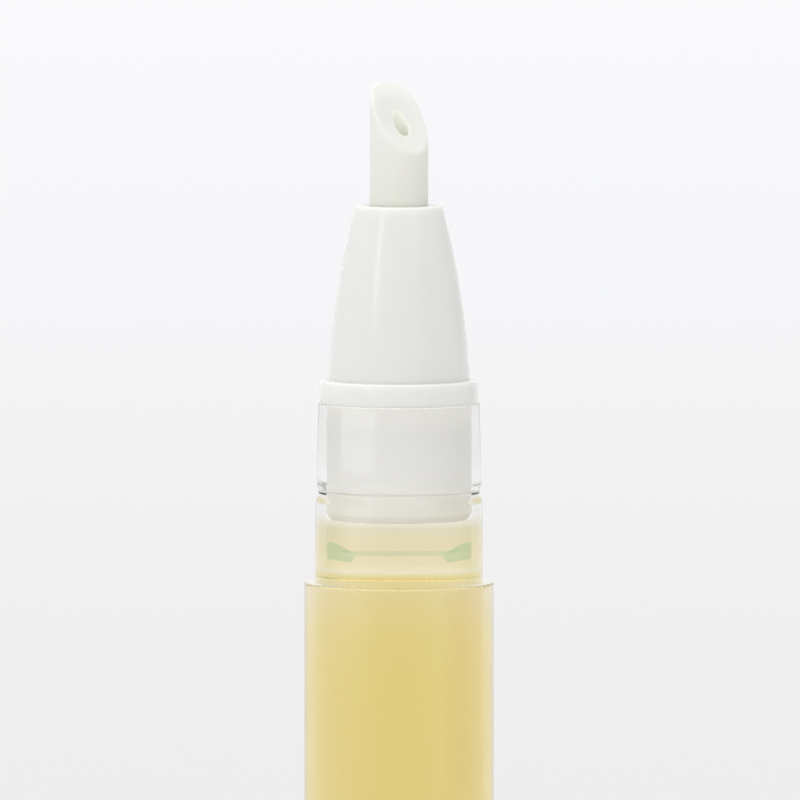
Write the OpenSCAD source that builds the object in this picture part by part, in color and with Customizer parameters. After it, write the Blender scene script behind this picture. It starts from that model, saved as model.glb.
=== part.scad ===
// Nail oil pen with a slanted soft tip, a clear barrel and a turning tail knob.
// All sizes are in millimetres. The pen stands on its tail, +Z up.

/* [Pen] */
// Outside diameter of the barrel, the knob and the cap
pen_od = 11.5; // [11.3:0.1:14]
// Length of the tail knob
knob_h = 24; // [20:0.5:30]
// Length of the barrel from its rear edge to its shoulder
barrel_h = 76; // [72:0.5:90]
// Piston travel, which sets how far the rod reaches into the knob
travel = 40; // [20:0.5:40]
// Rounding of the outer edges
edge_r = 0.35; // [0.2:0.05:0.5]
// Running gap between the knob and the barrel
turn_gap = 0.15; // [0.1:0.05:0.4]
// Radial clearance of turning and sliding fits
run_fit = 0.05; // [0.03:0.01:0.1]
// Radial clearance of fixed fits
seat_fit = 0.02; // [0.01:0.01:0.04]

/* [Reservoir] */
// Bore of the barrel round the oil
bore_d = 7.7; // [7.3:0.1:8]
// Depth of the rear pocket that holds the mechanism
pocket_h = 30; // [29:0.5:34]
// Diameter of the rear pocket
pocket_d = 8.6; // [8.6:0.1:9.4]
// Width of the two key slots along the pocket
key_w = 1.3; // [1:0.1:1.6]
// Depth of the key slots in the pocket wall
key_d = 0.45; // [0.3:0.05:0.5]

/* [Neck] */
// Height of the neck above the shoulder
neck_h = 10.9; // [9:0.1:14]
// Outside diameter of the neck at its foot
neck_d = 10.16; // [9.8:0.02:10.4]
// Outside diameter of the neck above the cap groove
neck_upper_d = 9.97; // [9.7:0.01:10]
// Outside diameter of the neck at its rim
neck_rim_d = 9.78; // [9.6:0.02:9.9]
// Height of the cap groove above the shoulder
cap_groove_h = 5.5; // [4.5:0.1:6]
// Width of the cap groove
cap_groove_w = 0.4; // [0.3:0.05:0.6]
// Depth of the cap groove
cap_groove_d = 0.09; // [0.08:0.01:0.2]
// Bore of the neck
neck_bore_d = 5.9; // [5.7:0.1:6.2]
// Height of the bore's step above the shoulder
step_h = 0.9; // [0.6:0.1:2]
// Rise of the bore's step from the wide bore to the neck's bore
step_rise = 0.35; // [0.25:0.05:0.6]
// Lead-in chamfer at the mouth of the neck
mouth_c = 0.55; // [0.3:0.05:0.8]

/* [Nose cone] */
// Height of the collar that rests on the neck's rim
collar_h = 1.4; // [1:0.1:2]
// Diameter of the collar at its foot
collar_d = 9.66; // [9.2:0.02:9.7]
// Draft of the collar on its diameter
collar_draft = 0.2; // [0:0.05:0.4]
// Height of the cone above the collar
cone_h = 10.6; // [9:0.1:14]
// Diameter of the cone's foot
cone_foot_d = 8.6; // [7.6:0.1:8.8]
// Diameter of the cone's top
cone_top_d = 5.26; // [5:0.02:5.8]
// Bulge of the cone's side
cone_bulge = 0.27; // [0.1:0.01:0.5]
// Depth of the plug in the neck
plug_h = 7.1; // [5:0.1:8]
// Height of the plug's lead-in taper
plug_lead = 0.4; // [0.4:0.05:1]
// Height of the snap bead above the plug's lower end
bead_h = 1.65; // [1.2:0.05:3]
// Width of the snap bead
bead_w = 0.5; // [0.3:0.05:0.8]
// Height of the snap bead over the plug
bead_d = 0.2; // [0.1:0.02:0.3]

/* [Applicator] */
// Diameter of the soft tip
tip_d = 3.55; // [3.4:0.05:3.8]
// Height of the slanted face's centre above the cone
face_h = 5.8; // [4:0.1:8]
// Slant of the face from level
face_slant = 48.8; // [35:0.2:55]
// Turn of the slanted face about the pen's axis
face_turn = -53; // [-180:1:180]
// Reach of the rounded crown from the face's centre
crown_r = 2.26; // [2.1:0.02:2.6]
// Radius of the hollow scooped into the face
scoop_r = 8; // [6:0.1:10]
// Depth of the hollow under the face's plane
scoop_d = 0.5; // [0.3:0.02:0.6]
// Place of the hollow's deepest point down the slant from the face's centre
scoop_at = 1.6; // [1:0.05:2]
// Diameter of the outlet hole
outlet_d = 0.9; // [0.8:0.02:1.2]
// Offset of the outlet hole towards the low side of the face
outlet_off = 0.2; // [0:0.05:0.3]
// Outside diameter of the feed tube
tube_od = 1.6; // [1.3:0.1:1.8]
// Bore of the feed tube
tube_id = 1; // [0.6:0.1:1.1]
// Diameter of the flange at the foot of the tip
tip_flange_d = 4.3; // [4.1:0.05:4.36]
// Height of the flange at the foot of the tip
tip_flange_h = 1; // [0.6:0.1:1.5]
// Bore of the nose cone behind the tip
nose_bore_d = 4.4; // [4.4:0.1:4.8]

/* [Mechanism] */
// Pitch of the screw thread
pitch = 2.5; // [2.2:0.1:3]
// Crest diameter of the thread
thread_d = 4.2; // [4:0.05:4.3]
// Root diameter of the thread
root_d = 3.3; // [3.1:0.05:3.4]
// Distance across the rod's two flats
flats_w = 2.9; // [2.6:0.05:3]
// Thickness of a thread tooth at its crest
tooth_w = 0.55; // [0.4:0.05:0.7]
// Height of the thread nut
nut_h = 4; // [3.6:0.1:5]
// Height of the ratchet ring
ratchet_h = 5.5; // [4.5:0.1:6]
// Number of clicks in one turn
clicks = 12; // [8:1:16]
// Depth of a ratchet tooth
click_d = 0.4; // [0.2:0.05:0.5]
// Height of the piston
piston_h = 6; // [5:0.1:8]
// Height of each sealing lip
lip_h = 0.8; // [0.5:0.1:1.2]
// Section of the drag ring
ring_section = 1; // [0.8:0.05:1.1]
// Height of the retaining ring
retain_h = 3; // [2:0.1:4]

/* [Knob] */
// Wall of the hollow lower part of the knob
knob_wall = 0.85; // [0.7:0.05:1.2]
// Height of the solid upper part that grips the sleeve
knob_web = 10; // [8:0.5:12]
// Number of splines between the sleeve and the knob
splines = 6; // [4:1:8]
// Thickness of the end plug's plate
end_plate = 1.5; // [1:0.1:2]
// Height of the end plug's rim inside the knob
end_rim = 3.5; // [2:0.1:5]

/* [Cap] */
// Height of the cap
cap_h = 34; // [33:0.5:40]
// Thickness of the cap's end wall
cap_end = 1.2; // [1:0.1:2]
// Radial clearance between the cap and the neck
cap_fit = 0.12; // [0.05:0.01:0.15]
// How far the snap bead stands out inside the cap
cap_bead_d = 0.2; // [0.1:0.02:0.3]
// Width of the snap bead inside the cap
cap_bead_w = 0.66; // [0.6:0.02:0.8]
// Wall of the cap liner
liner_wall = 0.6; // [0.5:0.05:0.8]
// Inside diameter of the liner round the tip
liner_tip_d = 6; // [5.6:0.1:7]
// Distance from the pen's axis to the standing cap, to the right
cap_x = 21; // [16:0.5:60]
// Distance from the pen's axis to the standing cap, to the front
cap_y = -6; // [-40:0.5:40]

/* [Hidden] */
$fn = 96;

// Overrun of every cut
over = 1;

// Radii
pen_r = pen_od / 2;
bore_r = bore_d / 2;
pocket_r = pocket_d / 2;
neck_bore_r = neck_bore_d / 2;
cone_foot_r = cone_foot_d / 2;
cone_top_r = cone_top_d / 2;
collar_r = collar_d / 2;
nose_bore_r = nose_bore_d / 2;
plug_r = neck_bore_r - seat_fit;
tip_r = tip_d / 2;
tube_r = tube_od / 2;
thread_r = thread_d / 2;
root_r = root_d / 2;
cap_bore_r = neck_d / 2 + cap_fit;

// Levels along the pen, from the tail up
z_barrel = knob_h;
z_pocket = z_barrel + pocket_h;
z_shoulder = z_barrel + barrel_h;
z_step = z_shoulder + step_h;
z_rim = z_shoulder + neck_h;
z_plug = z_rim - plug_h;
z_bead = z_plug + bead_h;
z_ledge = z_rim + collar_h;
z_cone = z_ledge + cone_h;
z_face = z_cone + face_h;

// Stack of the mechanism, from the pocket's end down
z_nut = z_pocket - nut_h;
z_ratchet = z_nut - ratchet_h;
// Height of the thrust flange under the ratchet ring
flange_h = 1.2;
z_flange = z_ratchet - turn_gap - flange_h;
// Height of the flat-sided hole that turns the rod
drive_hole_h = 4;
z_drive_top = z_nut - turn_gap;
z_drive_hole = z_drive_top - drive_hole_h;
// Length of rod left in the flat-sided hole when the pen is empty
drive_left = 3;
z_rod = z_drive_top - drive_left - travel;
// Height of the retaining ring above the barrel's rear edge
retain_at = 2;
z_retain = z_barrel + retain_at;
// Height of the collar on the sleeve above the retaining ring
sleeve_collar_h = 1.2;
// Height of the drag ring above the retaining ring's collar
ring_at = 6;
z_ring = z_retain + retain_h + sleeve_collar_h + ring_at;
z_knob_top = z_barrel - turn_gap;
z_web = z_knob_top - knob_web;

// Drive sleeve
sleeve_bore_r = thread_r + 2 * run_fit;
// Wall of the drive sleeve
sleeve_wall = 1;
sleeve_r = sleeve_bore_r + sleeve_wall;
// Wall of the sleeve's hub inside the ratchet ring
hub_wall = 0.4;
hub_r = sleeve_bore_r + hub_wall;
sleeve_flange_r = pocket_r - 2 * run_fit;
// Length and height of the snap lip below the knob's web
snap_h = 1.2;
snap_d = 0.35;
// Height and width of a spline
spline_d = 0.5;
spline_w = 1;

// Ratchet
fixed_r = pocket_r - seat_fit;
// Wall of the ratchet ring behind its teeth
ratchet_wall = 0.55;
valley_r = fixed_r - ratchet_wall;
crest_r = valley_r - click_d;
key_root_r = valley_r + ratchet_wall / 2;
// Thickness of a click pawl, its room to flex, and the angles that its arm spans
pawl_w = 0.3;
pawl_flex = 0.2;
pawl_span = 110;
pawl_root = 24;
pawl_nose = 16;

// Nut
nut_bore_r = thread_r + 3 * run_fit;
lug_r = root_r + 3 * run_fit;
// Thickness of a thread lug
lug_w = 0.45;
lug_span = 50;
lugs = 4;
lead = atan(pitch / (PI * (thread_r + root_r)));

// Piston and rod head
piston_gap = 0.4;
z_piston = z_pocket + piston_gap;
lip_r = bore_r - run_fit;
// Groove between the two sealing lips
lip_relief = 0.4;
head_r = 1.6;
head_h = 1.3;
rod_neck_r = 1.25;
// Roof of the piston over the rod's head
piston_roof = 1.8;
z_head_top = z_piston + piston_h - piston_roof - run_fit;
// Bare end of the rod below its neck
rod_bare = 0.6;

// Tip
// Length of the tip held inside the cone's top
tip_neck_h = 4.3;
z_tip_seat = z_cone - tip_neck_h;
// Top of the feed tube below the face
tube_end = 3;
// Recess of the tip support above the plug's lower end
support_at = 0.4;
// Heights of the support's foot and head, and the radius of its waist
support_foot = 3;
support_head = 1.4;
support_waist_r = 1.5;
// Height of the feed tube's seat in the support
tube_seat = 0.5;

// Cap
// Taper of the liner that follows the nose cone
liner_skirt = 1.6;
liner_taper = 10;
liner_at = neck_h + collar_h + edge_r;
liner_roof = 0.8;
liner_pad = 1;

// Points of a circular arc from p to q that bulges by sag to the right of the way from p to q
function arc(p, q, sag, n) =
    let (d = q - p,
         c = norm(d),
         r = (c * c / 4 + sag * sag) / (2 * sag),
         u = [d[1], -d[0]] / c,
         o = (p + q) / 2 - u * (r - sag),
         h = asin(c / 2 / r))
    [for (i = [0 : n]) let (a = h * (2 * i / n - 1)) o + u * r * cos(a) + d / c * r * sin(a)];

// Ring with a plain bore
module ring(z, h, ro, ri) {
    translate([0, 0, z]) difference() {
        cylinder(h = h, r = ro);
        translate([0, 0, -over]) cylinder(h = h + 2 * over, r = ri);
    }
}

// Solid of revolution about the pen's axis
module turned(points) {
    rotate_extrude() polygon(points);
}

// Two keys on opposite sides, from the radius r outwards
module keys(z, h, r, reach, w) {
    for (side = [0, 1])
        rotate([0, 0, 180 * side])
            translate([r, -w / 2, z]) cube([reach - r, w, h]);
}

// Bar with two flats across Y
module flat_bar(z, h, r, w) {
    translate([0, 0, z]) intersection() {
        cylinder(h = h, r = r);
        translate([-r, -w / 2, 0]) cube([2 * r, w, h]);
    }
}

module applicator_tip() {
    color([0.92, 0.92, 0.89]) difference() {
        union() {
            intersection() {
                translate([0, 0, z_tip_seat]) cylinder(h = tip_neck_h + face_h + crown_r, r = tip_r);
                union() {
                    translate([0, 0, z_face]) rotate([0, face_slant, face_turn])
                        translate([0, 0, -pen_od]) cylinder(h = pen_od + over, r = crown_r);
                    translate([0, 0, z_tip_seat - over])
                        cylinder(h = over + tip_neck_h + face_h, r = pen_r);
                }
            }
            translate([0, 0, z_tip_seat - tip_flange_h]) cylinder(h = tip_flange_h, r = tip_flange_d / 2);
        }
        translate([0, 0, z_face]) rotate([0, 0, face_turn]) {
            rotate([0, face_slant, 0]) translate([-pen_r, -pen_r, 0]) cube([pen_od, pen_od, pen_r]);
            rotate([0, face_slant, 0]) translate([scoop_at, 0, scoop_r - scoop_d]) sphere(r = scoop_r);
            translate([outlet_off, 0, -tube_end - over]) cylinder(h = tube_end + over + tip_r, r = outlet_d / 2);
        }
        translate([0, 0, z_tip_seat - tip_flange_h - over])
            cylinder(h = tip_flange_h + over + tip_neck_h + face_h - tube_end, r = tube_r + seat_fit);
    }
}

module nose_cone() {
    collar_top_r = collar_r - collar_draft / 2;
    color([0.92, 0.93, 0.91]) turned(concat(
        [[nose_bore_r, z_plug], [plug_r - plug_lead / 2, z_plug], [plug_r, z_plug + plug_lead],
         [plug_r, z_bead], [plug_r + bead_d, z_bead + bead_w / 3],
         [plug_r + bead_d, z_bead + bead_w * 2 / 3], [plug_r, z_bead + bead_w],
         [plug_r, z_rim], [collar_r, z_rim], [collar_top_r, z_ledge - edge_r / 3],
         [collar_top_r - edge_r / 3, z_ledge]],
        arc([cone_foot_r, z_ledge], [cone_top_r, z_cone], cone_bulge, 16),
        [[tip_r + seat_fit, z_cone], [tip_r + seat_fit, z_tip_seat + seat_fit],
         [nose_bore_r, z_tip_seat + seat_fit]]));
}

module feed_tube() {
    foot = z_plug + support_at + tube_seat;
    color([0.85, 0.85, 0.85])
        ring(foot, z_face - tube_end - seat_fit - foot, tube_r, tube_id / 2);
}

module tip_support() {
    foot = z_plug + support_at;
    top = z_tip_seat - tip_flange_h - seat_fit;
    tube_foot = foot + tube_seat - seat_fit;
    r = nose_bore_r - seat_fit;
    color([0.88, 0.88, 0.86]) turned([
        [tube_id / 2, foot], [r, foot], [r, foot + support_foot], [support_waist_r, foot + support_foot],
        [support_waist_r, top - support_head], [r, top - support_head], [r, top],
        [tube_r + seat_fit, top], [tube_r + seat_fit, tube_foot], [tube_id / 2, tube_foot]]);
}

module barrel_tube() {
    upper_r = neck_upper_d / 2;
    groove_r = upper_r - cap_groove_d;
    z_groove = z_shoulder + cap_groove_h - cap_groove_w / 2;
    bead_r = plug_r + bead_d + run_fit;
    snap_z = z_retain + retain_h / 2;
    color([0.93, 0.94, 0.93, 0.4]) difference() {
        turned([
            [pocket_r, z_barrel], [pen_r - edge_r / 2, z_barrel], [pen_r, z_barrel + edge_r / 2],
            [pen_r, z_shoulder - edge_r / 2], [pen_r - edge_r / 2, z_shoulder],
            [neck_d / 2, z_shoulder], [neck_d / 2, z_groove - cap_groove_w],
            [upper_r, z_groove - cap_groove_w / 2], [groove_r, z_groove],
            [groove_r, z_groove + cap_groove_w], [upper_r, z_groove + cap_groove_w * 3 / 2],
            [upper_r, z_rim - neck_h / 3], [neck_rim_d / 2, z_rim - edge_r / 2],
            [neck_rim_d / 2 - edge_r / 2, z_rim],
            [neck_bore_r + mouth_c, z_rim], [neck_bore_r, z_rim - mouth_c],
            [neck_bore_r, z_bead + bead_w + run_fit], [bead_r, z_bead + bead_w * 2 / 3 + run_fit],
            [bead_r, z_bead + bead_w / 3 - run_fit], [neck_bore_r, z_bead - run_fit],
            [neck_bore_r, z_step], [bore_r, z_step - step_rise], [bore_r, z_pocket],
            [pocket_r, z_pocket], [pocket_r, snap_z + snap_d], [pocket_r + snap_d, snap_z + run_fit],
            [pocket_r + snap_d, snap_z - run_fit], [pocket_r, snap_z - snap_d]]);
        keys(z_barrel - over, pocket_h + over, bore_r, pocket_r + key_d, key_w);
    }
}

module oil_column() {
    bottom = z_piston + piston_h + seat_fit;
    top = z_step - step_rise - seat_fit;
    color([0.88, 0.8, 0.5, 0.6])
        translate([0, 0, bottom]) cylinder(h = top - bottom, r = bore_r - seat_fit);
}

module oil_in_neck() {
    bottom = z_step - step_rise;
    top = z_plug - seat_fit;
    color([0.88, 0.82, 0.6, 0.6]) turned([
        [0, bottom], [bore_r - 2 * seat_fit, bottom], [neck_bore_r - seat_fit, z_step],
        [neck_bore_r - seat_fit, top], [0, top]]);
}

module piston() {
    top = z_piston + piston_h;
    waist_r = lip_r - lip_relief;
    hole_r = rod_neck_r + 2 * run_fit;
    room_r = head_r + 2 * run_fit;
    room_z = z_head_top - head_h - run_fit;
    color([0.95, 0.95, 0.95]) turned([
        [0, top], [lip_r - lip_relief / 2, top], [lip_r, top - lip_h / 3], [lip_r, top - lip_h],
        [waist_r, top - lip_h - lip_relief], [waist_r, z_piston + lip_h + lip_relief],
        [lip_r, z_piston + lip_h], [lip_r, z_piston + lip_h / 3], [lip_r - lip_relief / 2, z_piston],
        [hole_r, z_piston], [hole_r, room_z], [room_r, room_z], [room_r, z_head_top + run_fit],
        [0, z_head_top + run_fit]]);
}

// One side of a thread tooth: half a disc tilted by the lead angle
module thread_tooth() {
    intersection() {
        rotate([lead, 0, 0]) translate([0, 0, -tooth_w / 2]) cylinder(h = tooth_w, r = thread_r);
        translate([0, -flats_w / 2, -pitch / 2]) cube([thread_r, flats_w, pitch]);
    }
}

module screw_rod() {
    shank_top = z_pocket - rod_bare;
    turns = floor((z_nut + nut_h / 2 - z_rod - pitch) / pitch);
    color([0.94, 0.94, 0.92]) union() {
        flat_bar(z_rod, shank_top - z_rod, root_r, flats_w);
        for (i = [0 : turns], side = [0, 1])
            translate([0, 0, z_nut + nut_h / 2 - pitch * (i + side / 2)])
                rotate([0, 0, 180 * side]) thread_tooth();
        translate([0, 0, shank_top - rod_bare])
            cylinder(h = z_head_top - shank_top + rod_bare, r = rod_neck_r);
        translate([0, 0, z_head_top - head_h]) cylinder(h = head_h, r = head_r);
    }
}

module thread_nut() {
    color([0.93, 0.93, 0.92]) union() {
        ring(z_nut, nut_h - seat_fit, fixed_r, nut_bore_r);
        keys(z_nut, nut_h - seat_fit, key_root_r, pocket_r + key_d - run_fit, key_w - 2 * run_fit);
        for (i = [0 : lugs - 1])
            translate([0, 0, z_nut + nut_h / 2 - pitch / 2 + pitch * i / lugs])
                rotate([0, 0, 360 * i / lugs - lug_span / 2])
                    rotate_extrude(angle = lug_span)
                        translate([lug_r, -lug_w / 2]) square([nut_bore_r + hub_wall - lug_r, lug_w]);
    }
}

// Outline of the ratchet's inner saw teeth
function saw(n) = [for (i = [0 : n - 1], top = [0, 1])
    let (a = 360 / n * (i + top / n), r = top == 1 ? valley_r : crest_r)
    r * [cos(a), sin(a)]];

module ratchet_ring() {
    color([0.9, 0.9, 0.9]) union() {
        translate([0, 0, z_ratchet]) linear_extrude(ratchet_h - seat_fit) difference() {
            circle(fixed_r);
            polygon(saw(clicks));
        }
        keys(z_ratchet, ratchet_h - seat_fit, key_root_r, pocket_r + key_d - run_fit, key_w - 2 * run_fit);
    }
}

// Springy arm that follows the hub and ends in a nose under the ratchet's crests
module pawl(z, h) {
    arm_r = hub_r + pawl_flex;
    translate([0, 0, z]) {
        rotate_extrude(angle = pawl_root)
            translate([sleeve_bore_r + hub_wall / 2, 0]) square([hub_wall / 2 + pawl_flex + pawl_w, h]);
        rotate_extrude(angle = pawl_span)
            translate([arm_r, 0]) square([pawl_w, h]);
        rotate([0, 0, pawl_span - pawl_nose]) rotate_extrude(angle = pawl_nose)
            translate([arm_r + pawl_w / 2, 0]) square([crest_r - run_fit - arm_r - pawl_w / 2, h]);
    }
}

module drive_sleeve() {
    foot = z_web - snap_h;
    collar_z = z_retain + retain_h + turn_gap;
    arm_z = z_ratchet + turn_gap;
    color([0.96, 0.96, 0.95]) union() {
        ring(foot, z_flange - foot + over / 2, sleeve_r, sleeve_bore_r);
        ring(z_flange, flange_h, sleeve_flange_r, sleeve_bore_r);
        ring(collar_z, sleeve_collar_h, sleeve_flange_r, sleeve_bore_r);
        for (side = [-1, 1])
            ring(z_ring + side * (ring_section + run_fit) - ring_section / 2, ring_section,
                 sleeve_flange_r, sleeve_bore_r);
        ring(z_flange, z_drive_hole - z_flange, hub_r, sleeve_bore_r);
        translate([0, 0, z_drive_hole]) difference() {
            cylinder(h = drive_hole_h, r = hub_r);
            flat_bar(-over, drive_hole_h + 2 * over, sleeve_bore_r, flats_w + 2 * run_fit);
        }
        for (side = [0, 1])
            rotate([0, 0, 180 * side]) pawl(arm_z, ratchet_h - 2 * turn_gap);
        for (i = [0 : splines - 1])
            rotate([0, 0, 360 * i / splines])
                translate([sleeve_r - spline_d, -spline_w / 2, z_web])
                    cube([2 * spline_d, spline_w, knob_web + retain_at / 2]);
        turned([[sleeve_bore_r, foot], [sleeve_r, foot], [sleeve_r + snap_d, z_web - snap_h / 2],
                [sleeve_r + snap_d, z_web - run_fit], [sleeve_bore_r, z_web - run_fit]]);
    }
}

module o_ring() {
    color([0.25, 0.25, 0.26]) rotate_extrude()
        translate([sleeve_r + run_fit / 2 + ring_section / 2, z_ring]) circle(ring_section / 2);
}

module retaining_ring() {
    snap_z = z_retain + retain_h / 2;
    in_r = sleeve_r + spline_d + 2 * run_fit;
    color([0.8, 0.82, 0.84]) turned([
        [in_r, z_retain], [fixed_r, z_retain], [fixed_r, snap_z - snap_d + run_fit],
        [fixed_r + snap_d - run_fit, snap_z], [fixed_r, snap_z + snap_d - run_fit],
        [fixed_r, z_retain + retain_h], [in_r, z_retain + retain_h]]);
}

module tail_knob() {
    hollow_r = pen_r - knob_wall;
    color([0.95, 0.95, 0.94]) difference() {
        turned([
            [hollow_r, 0], [pen_r - edge_r, 0], [pen_r, edge_r], [pen_r, z_knob_top - edge_r / 2],
            [pen_r - edge_r / 2, z_knob_top], [sleeve_r + seat_fit, z_knob_top],
            [sleeve_r + seat_fit, z_web], [hollow_r, z_web]]);
        for (i = [0 : splines - 1])
            rotate([0, 0, 360 * i / splines])
                translate([0, -spline_w / 2 - seat_fit, z_web - over])
                    cube([sleeve_r + spline_d + seat_fit, spline_w + 2 * seat_fit, knob_web + 2 * over]);
    }
}

module end_plug() {
    r = pen_r - knob_wall - seat_fit;
    color([0.93, 0.93, 0.92]) turned([
        [0, 0], [r, 0], [r, end_plate + end_rim], [r - knob_wall, end_plate + end_rim],
        [r - knob_wall, end_plate], [0, end_plate]]);
}

module cap_shell() {
    bead_z = cap_groove_h;
    color([0.96, 0.96, 0.96]) translate([cap_x, cap_y, 0]) turned([
        [cap_bore_r, 0], [pen_r - edge_r / 2, 0], [pen_r, edge_r / 2], [pen_r, cap_h - 2 * edge_r],
        [pen_r - edge_r * 0.6, cap_h - edge_r * 0.6], [pen_r - 2 * edge_r, cap_h], [0, cap_h],
        [0, cap_h - cap_end], [cap_bore_r, cap_h - cap_end],
        [cap_bore_r, bead_z + cap_bead_w / 2], [cap_bore_r - cap_bead_d, bead_z + cap_bead_w / 6],
        [cap_bore_r - cap_bead_d, bead_z - cap_bead_w / 6], [cap_bore_r, bead_z - cap_bead_w / 2]]);
}

module cap_liner() {
    out_r = cap_bore_r - seat_fit;
    in_r = out_r - liner_wall;
    tip_in_r = liner_tip_d / 2;
    skirt_z = liner_at + liner_skirt;
    taper_z = skirt_z + liner_taper;
    roof_z = cap_h - cap_end - seat_fit;
    color([0.9, 0.91, 0.91]) translate([cap_x, cap_y, 0]) turned([
        [in_r, liner_at], [out_r, liner_at], [out_r, skirt_z], [tip_in_r + liner_wall, taper_z],
        [tip_in_r + liner_wall, roof_z - liner_pad], [out_r, roof_z - liner_pad], [out_r, roof_z],
        [0, roof_z], [0, roof_z - liner_roof], [tip_in_r, roof_z - liner_roof],
        [tip_in_r, taper_z], [in_r, skirt_z]]);
}

applicator_tip();
nose_cone();
feed_tube();
tip_support();
barrel_tube();
oil_column();
oil_in_neck();
piston();
screw_rod();
thread_nut();
ratchet_ring();
drive_sleeve();
o_ring();
retaining_ring();
tail_knob();
end_plug();
cap_shell();
cap_liner();
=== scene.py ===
from math import asin, cos, pi, radians, sin

import bmesh
import bpy
from bpy.props import FloatProperty, FloatVectorProperty, IntProperty, PointerProperty
from mathutils import Matrix, Vector


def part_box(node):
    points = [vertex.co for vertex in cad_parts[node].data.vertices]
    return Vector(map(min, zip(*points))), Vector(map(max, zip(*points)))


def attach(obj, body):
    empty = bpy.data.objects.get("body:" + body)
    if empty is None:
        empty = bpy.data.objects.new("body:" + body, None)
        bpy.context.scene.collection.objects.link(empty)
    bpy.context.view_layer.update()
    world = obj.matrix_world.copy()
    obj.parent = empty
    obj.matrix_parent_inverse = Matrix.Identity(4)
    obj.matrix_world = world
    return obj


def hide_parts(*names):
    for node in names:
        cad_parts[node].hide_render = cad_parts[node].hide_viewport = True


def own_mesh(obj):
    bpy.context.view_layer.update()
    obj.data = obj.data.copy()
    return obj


bl_info = {
    "name": "Nail oil pen",
    "version": (1, 0, 0),
    "blender": (4, 5, 0),
    "location": "View3D > Sidebar > Oil Pen",
    "description": "Builds the shaped pieces and finishes of a nail oil pen on its packed frame",
    "category": "Object",
}

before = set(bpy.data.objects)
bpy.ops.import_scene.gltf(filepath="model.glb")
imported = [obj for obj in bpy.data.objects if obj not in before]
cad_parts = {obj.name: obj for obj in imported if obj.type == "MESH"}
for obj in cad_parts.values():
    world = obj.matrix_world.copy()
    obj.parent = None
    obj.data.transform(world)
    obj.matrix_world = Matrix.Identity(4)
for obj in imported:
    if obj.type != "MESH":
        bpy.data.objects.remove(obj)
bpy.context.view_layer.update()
MM = 0.001
WHITE, BLACK = (1, 1, 1), (0, 0, 0)
TIP_SIDES = 128
# Inputs of a surface that lets light straight through
STRAIGHT = {"Roughness": 0.0, "IOR": 1.0, "Transmission Weight": 1.0}
# Name, azimuth and elevation in degrees, width and height in metres, and radiance of each softbox
SOFTBOXES = (("key", -45, 24, (0.22, 0.6), 2.6), ("fill", -62, -2, (1.4, 0.12), 1.3),
             ("face", 40, 33, (0.8, 0.7), 0.75))

BARREL_LOW, BARREL_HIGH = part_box("barrel_tube")
NOSE_LOW, NOSE_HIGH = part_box("nose_cone")
TIP_LOW, TIP_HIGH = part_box("applicator_tip")
OIL_LOW, OIL_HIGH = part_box("oil_column")
NECK_OIL_LOW, NECK_OIL_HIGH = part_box("oil_in_neck")
PISTON_LOW, PISTON_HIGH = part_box("piston")
KNOB_LOW, KNOB_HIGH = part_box("tail_knob")
CAP_LOW, CAP_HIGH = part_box("cap_shell")


def length(label, text, size):
    """A length property whose default is size, in millimetres."""
    return FloatProperty(name=label, description=text, default=size * MM, unit="LENGTH", precision=5)


def tint(label, text, value):
    """A colour property, in scene-linear red, green and blue."""
    return FloatVectorProperty(name=label, description=text, default=value, size=3, min=0, max=1,
                               subtype="COLOR")


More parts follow.
